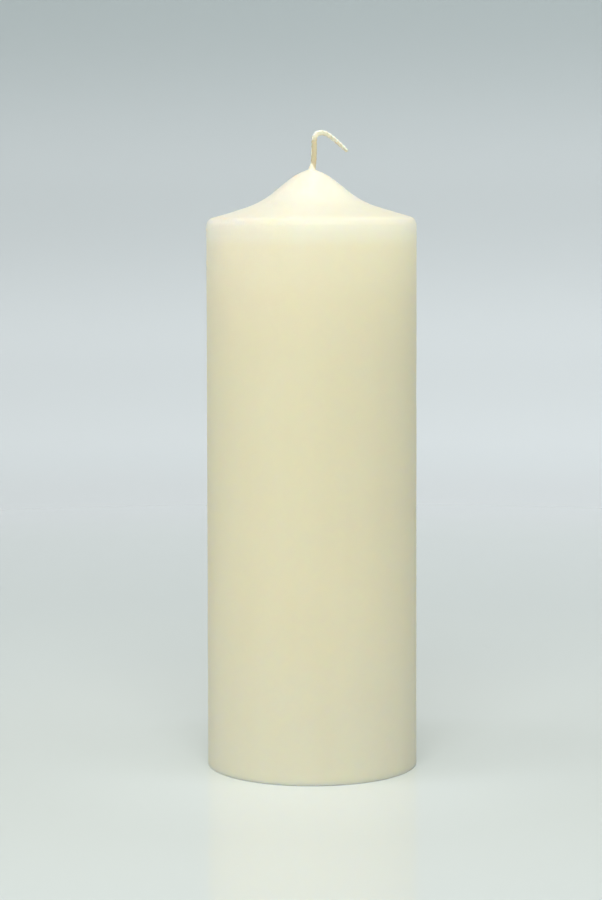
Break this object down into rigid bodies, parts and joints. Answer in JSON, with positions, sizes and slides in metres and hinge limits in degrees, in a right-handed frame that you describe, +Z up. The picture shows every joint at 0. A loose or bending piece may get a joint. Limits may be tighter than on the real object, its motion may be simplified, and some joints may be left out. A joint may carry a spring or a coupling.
{
  "type": "unity candle",
  "caption": "Plain ivory pillar candle with a bell-shaped crown and a waxed wick that bends over, over-dipped on a pressed core.",
  "frame": {"origin": "centre of the base, on the surface that the candle stands on", "axes": "+Z up the candle's axis, +X the way the wick bends over"},
  "size_m": [0.07, 0.07, 0.2106],
  "materials": {
    "outer_wax": "satin ivory wax",
    "pressed_wax": "matt, finely granular",
    "seal_wax": "smooth poured wax",
    "tinplate": "bright tin-plated steel",
    "waxed_cotton": "plaited cotton, waxed"
  },
  "bodies": {
    "root": {"outer_wax_skin": "outer_wax", "pressed_core": "pressed_wax", "channel_seal": "seal_wax", "base_seal": "seal_wax", "wick_sustainer": "tinplate", "wick": "waxed_cotton"}
  },
  "joints": []
}
